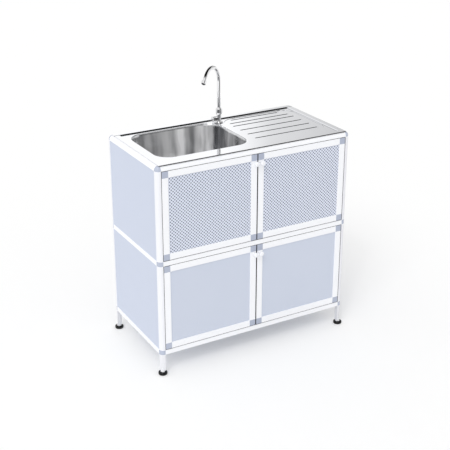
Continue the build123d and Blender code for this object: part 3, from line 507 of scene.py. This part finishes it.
finishOfSlot = {
    "white_profile": "whiteCoat",
    "connector_plastic": "bluePlastic",
    "panel_sheet": "sideSheet",
    "perforated_sheet": "doorSheet",
    "knob_plastic": "whiteGloss",
    "black_plastic": "blackGloss",
    "bush_plastic": "nylon",
    "stainless": "stainless",
    "chrome": "chrome",
    "brass": "brass",
    "zinc_steel": "zinc",
    "trap_plastic": "trapPlastic",
    "seal_rubber": "rubber",
}

finishOfEnding = {  # nodes whose name ends so take their own finish
    "door_panel": "doorSheet",
    "door_frame": "doorCoat",
    "door_corners": "blueCorner",
    "front_rails": "topCoat",
    "posts": "postCoatPaintedShade",
    "legs": "legCoatPaintedShade",
}


def finishOf(subpart):
    for ending, finish in finishOfEnding.items():
        if subpart["node"].endswith(ending):
            return finish
    return finishOfSlot[subpart["material_slot"]]


for subpart in record["subparts"]:
    for slot in nodes[subpart["node"]].material_slots:
        slot.material = finishes[finishOf(subpart)]
print("solids dressed")


def newPiece(name, points, faces, body, finish, smooth=False):
    mesh = bpy.data.meshes.new(name)
    mesh.from_pydata(points, [], faces)
    mesh.validate()
    piece = bpy.data.objects.new(name, mesh)
    bpy.context.collection.objects.link(piece)
    for face in mesh.polygons:
        face.use_smooth = smooth
    mesh.materials.append(finishes[finish])
    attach(piece, body)
    return piece


perforation = {
    "columns": 26,  # squares across the door's opening, each with a hole at its middle and corners
    "rows": 23,
    "holeRadius": 0.0034,  # metres, as the rest
    "arcSteps": 3,  # per quarter of a hole
    "frameCover": 0.0075,  # sheet hidden in the door's profile
    "thickness": 0.0012,
    "behind": 0.0001,  # from there to the painted-shade sheet that closes the holes
    "weld": 1e6,  # points that round to the same millionth are one
}


def addBox(points, faces, low, high):
    # a box whose first face is its front
    first = len(points)
    points += [(x, y, z) for y in (low[1], high[1]) for z in (low[2], high[2]) for x in (low[0], high[0])]
    loops = ((0, 1, 3, 2), (4, 6, 7, 5), (0, 4, 5, 1), (2, 3, 7, 6), (0, 2, 6, 4), (1, 5, 7, 3))
    faces += [[first + index for index in loop] for loop in loops]


def perforatedSheet(name, node, body):
    # a door's sheet between the sizes of the CAD one: columns run along x and rows along z
    low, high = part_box(node)
    steps = perforation["arcSteps"]
    cover = perforation["frameCover"]
    pitchX = (high[0] - low[0] - 2 * cover) / perforation["columns"]
    pitchZ = (high[2] - low[2] - 2 * cover) / perforation["rows"]
    columns = perforation["columns"] + 1  # the pattern runs half a square under the profile
    rows = perforation["rows"] + 1
    startX = low[0] + cover - pitchX / 2
    startZ = low[2] + cover - pitchZ / 2
    front = low[1]
    back = front + perforation["thickness"]
    points = []
    faces = []
    shared = {}

    def pair(x, z):
        # the same spot on the front and back of the sheet
        key = (round(x * perforation["weld"]), round(z * perforation["weld"]))
        if key not in shared:
            shared[key] = len(points)
            points.append((x, front, z))
            points.append((x, back, z))
        return shared[key]

    def grid(column, row):
        return pair(startX + column * pitchX, startZ + row * pitchZ)

    def slab(loop):
        faces.append(loop)
        faces.append([index + 1 for index in reversed(loop)])

    def hole(column, row):
        middleX = startX + column * pitchX
        middleZ = startZ + row * pitchZ
        ring = []
        for step in range(4 * steps):
            angle = math.pi / 2 * step / steps
            ring.append(len(points))
            x = middleX + perforation["holeRadius"] * math.cos(angle)
            z = middleZ + perforation["holeRadius"] * math.sin(angle)
            points.append((x, front, z))
            points.append((x, back, z))
        corners = [grid(column + 0.5, row), grid(column, row + 0.5)]
        corners += [grid(column - 0.5, row), grid(column, row - 0.5)]
        for quarter in range(4):
            arc = [ring[(quarter * steps + step) % len(ring)] for step in range(steps + 1)]
            slab([corners[quarter], corners[(quarter + 1) % 4]] + arc[::-1])
        for step, index in enumerate(ring):
            after = ring[(step + 1) % len(ring)]
            faces.append([index, after, after + 1, index + 1])

    for column in range(columns):
        for row in range(rows):
            hole(column + 0.5, row + 0.5)
            if column and row:
                hole(column, row)
    # triangles between the last holes, along the sides and at the corners
    for row in range(1, rows):
        slab([grid(0, row - 0.5), grid(0.5, row), grid(0, row + 0.5)])
        slab([grid(columns, row + 0.5), grid(columns - 0.5, row), grid(columns, row - 0.5)])
    for column in range(1, columns):
        slab([grid(column + 0.5, 0), grid(column, 0.5), grid(column - 0.5, 0)])
        slab([grid(column - 0.5, rows), grid(column, rows - 0.5), grid(column + 0.5, rows)])
    for row, inRow in ((0, 0.5), (rows, -0.5)):
        for column, inColumn in ((0, 0.5), (columns, -0.5)):
            corner = [grid(column, row), grid(column + inColumn, row), grid(column, row + inRow)]
            slab(corner if inColumn * inRow > 0 else corner[::-1])
    # plain margin in four strips, and the sheet's rim
    alongX = [0] + [step + 0.5 for step in range(columns)] + [columns]
    alongZ = [0] + [step + 0.5 for step in range(rows)] + [rows]
    bottomEdge = [grid(column, 0) for column in alongX]
    topEdge = [grid(column, rows) for column in alongX]
    leftEdge = [grid(0, row) for row in alongZ]
    rightEdge = [grid(columns, row) for row in alongZ]
    outer = [pair(low[0], low[2]), pair(high[0], low[2]), pair(high[0], high[2]), pair(low[0], high[2])]
    slab([outer[0], outer[1]] + bottomEdge[::-1])
    slab([outer[2], outer[3]] + topEdge)
    slab([outer[3], outer[0]] + leftEdge)
    slab([outer[1], outer[2]] + rightEdge[::-1])
    for side in range(4):
        first = outer[side]
        second = outer[(side + 1) % 4]
        faces.append([second, first, first + 1, second + 1])
    # painted shade: a plain sheet closes the holes, dark only where they show it, in place of the shade
    # inside the cabinet
    closed = len(faces)
    addBox(points, faces, (low[0], back + perforation["behind"], low[2]), high)
    piece = newPiece(name, points, faces, body, "piercedSheet")
    piece.data.materials.append(finishes["holeShadeSheet"])
    piece.data.materials.append(finishes["doorSheet"])
    for face in piece.data.polygons[closed:]:
        face.material_index = 1 if face.index == closed else 2
    shape = bmesh.new()
    shape.from_mesh(piece.data)
    bmesh.ops.recalc_face_normals(shape, faces=shape.faces)
    shape.to_mesh(piece.data)
    shape.free()
    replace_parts(piece, node)


for side in ("left", "right"):
    perforatedSheet("perforatedSheet_" + side, f"upper_{side}_door_panel", f"upper_{side}_door")
print("perforated sheets made")


perMetre = 1000  # the turned profiles are in millimetres
smoothing = 2  # subdivisions of a turned form


def turning(settings, origin, along, across):
    # points and faces of a turned form that runs from origin in the direction along
    sides = settings["sides"]
    third = along.cross(across)
    points = []
    faces = []
    for radius, distance in settings["profile"]:
        for step in range(sides):
            angle = 2 * math.pi * step / sides
            out = across * math.cos(angle) + third * math.sin(angle)
            points.append(origin + along * distance / perMetre + out * radius / perMetre)
    for ring in range(len(settings["profile"]) - 1):
        for step in range(sides):
            after = (step + 1) % sides
            low = ring * sides
            faces.append((low + step, low + after, low + sides + after, low + sides + step))
    faces.append(tuple(reversed(range(sides))))
    faces.append(tuple(range(len(points) - sides, len(points))))
    return points, faces


def smoothPiece(name, points, faces, body, finish):
    piece = newPiece(name, points, faces, body, finish, smooth=True)
    finer = piece.modifiers.new("finer", "SUBSURF")
    finer.levels = smoothing
    finer.render_levels = smoothing
    return piece


knobTurning = {
    "sides": 24,
    "profile": (  # radius, and distance from the door
        (5.2, 0), (5.2, 1), (5, 8), (5.6, 11.5), (9.4, 14), (10.6, 17), (10.6, 20), (9.3, 23.4), (5, 25),
        (1.5, 25),
    ),
}

for door in ("upper_left_door", "upper_right_door", "lower_left_door", "lower_right_door"):
    low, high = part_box(door + "_knob")
    base = Vector(((low[0] + high[0]) / 2, high[1], (low[2] + high[2]) / 2))
    points, faces = turning(knobTurning, base, Vector((0, -1, 0)), Vector((1, 0, 0)))
    knob = smoothPiece("knob_" + door, points, faces, door, "whiteGloss")
    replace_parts(knob, door + "_knob")


padTurning = {
    "sides": 32,
    "profile": (  # radius and height
        (3, 0), (15.5, 0), (18.4, 0.8), (19.1, 4), (19.1, 8), (18.4, 10.8), (15.5, 12), (11.5, 12.4),
        (3, 12.6),
    ),
}

stemTurning = {
    "sides": 24,
    "profile": ((3, 11), (9.4, 11), (9.6, 12.5), (9.6, 16), (9, 18), (8, 19), (8, 34), (2, 36)),
}


def footSpots():
    # the floor's mount lies under the left front foot, and the other feet mirror it
    rest = next(mount for mount in record["mounts"] if mount["name"] == "floor_rest")
    left, front = rest["pos_m"][:2]
    low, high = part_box("feet")
    back = low[1] + high[1] - front
    return ((left, front), (-left, front), (left, back), (-left, back))


def footSet(name, settings, finish):
    allPoints = []
    allFaces = []
    for x, y in footSpots():
        points, faces = turning(settings, Vector((x, y, 0)), Vector((0, 0, 1)), Vector((1, 0, 0)))
        allFaces += [tuple(index + len(allPoints) for index in face) for face in faces]
        allPoints += points
    return smoothPiece(name, allPoints, allFaces, "cabinet", finish)


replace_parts(footSet("footPads", padTurning, "blackGloss"), "feet")
footSet("footStems", stemTurning, "nylon")
print("knobs and feet turned")


studio = {
    "floorSize": 60,  # metres to each side
    "floorColour": (0.975, 0.975, 0.972, 1),
    "floorRough": 0.9,
    "floorLift": 0.2,  # share of plain white that the camera sees in the floor
    "floorInMetal": 0.95,  # what polished metal sees of it
    "skyLight": 0.8,
    "skyLean": 0.14,  # brighter by this much at the left, and darker at the right
    "skyTop": 0.95,  # what polished metal sees straight above
    "topEdge": (0.9, 0.95),
    "bandEdge": (0.47, 0.62),  # from the low bands to the high ones
    "sunStrength": 0.88,
    "sunSoftness": 32,  # degrees across
    "glintStrength": 0.12,
    "glintSoftness": 4,
    "sunFrom": (-0.57, -0.52, 0.8),
    "cardWay": (0.454, -0.891, 0),  # where the floor has a black card, which only polished metal sees
    "cardEdge": (0.86, 0.95),
    "cardColour": 0.02,
}

# what polished metal sees round it: place on the turn, from the left by the front, and brightness
lowBands = (
    (0.00, 1.0), (0.06, 0.9), (0.085, 0.25), (0.11, 0.95), (0.16, 1.05), (0.20, 0.7), (0.235, 0.8),
    (0.27, 0.6), (0.295, 0.03), (0.355, 0.03), (0.375, 0.8), (0.44, 1.0), (0.50, 0.8), (0.56, 0.45),
    (0.60, 0.55), (0.645, 0.74), (0.6615, 0.96), (0.6655, 1.3), (0.70, 1.3), (0.74, 0.9), (0.77, 0.3),
    (0.80, 0.9), (0.84, 1.1), (0.88, 1.0), (0.92, 0.5), (0.95, 0.9), (1.00, 1.0),
)
highBands = (
    (0.00, 0.9), (0.08, 1.0), (0.14, 0.5), (0.19, 0.45), (0.23, 1.0), (0.28, 0.9), (0.30, 0.2),
    (0.36, 0.15), (0.39, 0.7), (0.46, 0.8), (0.50, 0.2), (0.62, 0.2), (0.66, 1.1), (0.70, 0.8),
    (0.76, 0.7), (0.80, 1.1), (0.86, 1.0), (0.89, 0.6), (0.93, 0.6), (0.96, 0.9), (1.00, 0.9),
)


def floorPaper(board):
    seen = board.ray("Camera")
    lift = studio["floorLift"]
    plain = studio["floorColour"]
    dimmed = tuple(value * (1 - lift) for value in plain[:3]) + (1,)
    spot = board.make("ShaderNodeNewGeometry", output="Position")
    way = board.make("ShaderNodeVectorMath", {"operation": "NORMALIZE"}, [spot])
    card = board.dot(way, studio["cardWay"]).rise(*studio["cardEdge"])
    mirrored = board.mixColour(card, grey(studio["floorInMetal"]), grey(studio["cardColour"]))
    shown = board.mixColour(seen, plain, dimmed)
    return {
        "Base Color": board.mixColour(board.ray("Glossy"), shown, mirrored),
        "Emission Color": board.mixColour(seen, grey(0), grey(lift)),
        "Emission Strength": 1.0,
        "Roughness": studio["floorRough"],
        "Specular IOR Level": 0.0,
    }


def makeFloor():
    size = studio["floorSize"]
    corners = [(-size, -size, 0), (size, -size, 0), (size, size, 0), (-size, size, 0)]
    mesh = bpy.data.meshes.new("floor")
    mesh.from_pydata(corners, [], [(0, 1, 2, 3)])
    mesh.materials.append(newMaterial("floorPaper", floorPaper))
    floor = bpy.data.objects.new("floor", mesh)
    bpy.context.collection.objects.link(floor)


def makeSky():
    world = bpy.data.worlds.new("studio")
    bpy.context.scene.world = world
    world.use_nodes = True
    board = Board(world.node_tree)
    way = board.make("ShaderNodeTexCoord", output="Generated")
    east, north, upward = board.parts(way)
    turn = east.maths("ARCTAN2", north, east) / (2 * math.pi) + 0.5
    low = board.ramp(lowBands, turn)
    high = board.ramp(highBands, turn)
    room = board.mixColour(upward.rise(*studio["bandEdge"]), low, high)
    room = board.mixColour(upward.rise(*studio["topEdge"]), room, grey(studio["skyTop"]))
    left = grey(studio["skyLight"] + studio["skyLean"])
    right = grey(studio["skyLight"] - studio["skyLean"])
    plain = board.mixColour(east.rise(-1, 1), left, right)
    lit = board.mixColour(board.ray("Glossy"), plain, room)
    shown = board.mixColour(board.ray("Camera"), lit, grey(1))
    background = board.make("ShaderNodeBackground", None, {"Color": shown, "Strength": 1.0})
    board.make("ShaderNodeOutputWorld", None, {"Surface": background})


def makeSun(name, strength, softness):
    light = bpy.data.lights.new(name, "SUN")
    light.energy = strength
    light.angle = math.radians(softness)
    sun = bpy.data.objects.new(name, light)
    bpy.context.collection.objects.link(sun)
    sun.rotation_euler = Vector(studio["sunFrom"]).to_track_quat("Z", "Y").to_euler()


view = {  # the photograph's camera, worked out from the unit's corners in it
    "place": (-1.9238, -3.3572, 2.1728),  # metres
    "yaw": 28.911,  # degrees
    "pitch": -21.975,
    "roll": -0.212,
    "imageSize": 450,  # pixels
    "focusPixels": 974.23,  # focal length
    "middleX": 215.64,  # where the optical axis meets the picture
    "middleY": 200.11,
    "sensor": 36,  # millimetres
    "farthest": 200,
}


def makeCamera():
    lens = bpy.data.cameras.new("camera")
    lens.sensor_width = view["sensor"]
    lens.lens = view["focusPixels"] / view["imageSize"] * view["sensor"]
    lens.shift_x = 0.5 - view["middleX"] / view["imageSize"]
    lens.shift_y = view["middleY"] / view["imageSize"] - 0.5
    lens.clip_end = view["farthest"]
    camera = bpy.data.objects.new("camera", lens)
    bpy.context.collection.objects.link(camera)
    turn = Matrix.Rotation(math.radians(-view["yaw"]), 4, "Z")
    tilt = Matrix.Rotation(math.radians(90 + view["pitch"]), 4, "X")
    roll = Matrix.Rotation(math.radians(view["roll"]), 4, "Z")
    camera.matrix_world = Matrix.Translation(Vector(view["place"])) @ turn @ tilt @ roll
    bpy.context.scene.camera = camera


makeFloor()
makeSky()
makeSun("softSun", studio["sunStrength"], studio["sunSoftness"])
makeSun("glint", studio["glintStrength"], studio["glintSoftness"])
makeCamera()
bpy.context.scene.view_settings.view_transform = "Standard"
print("studio ready")
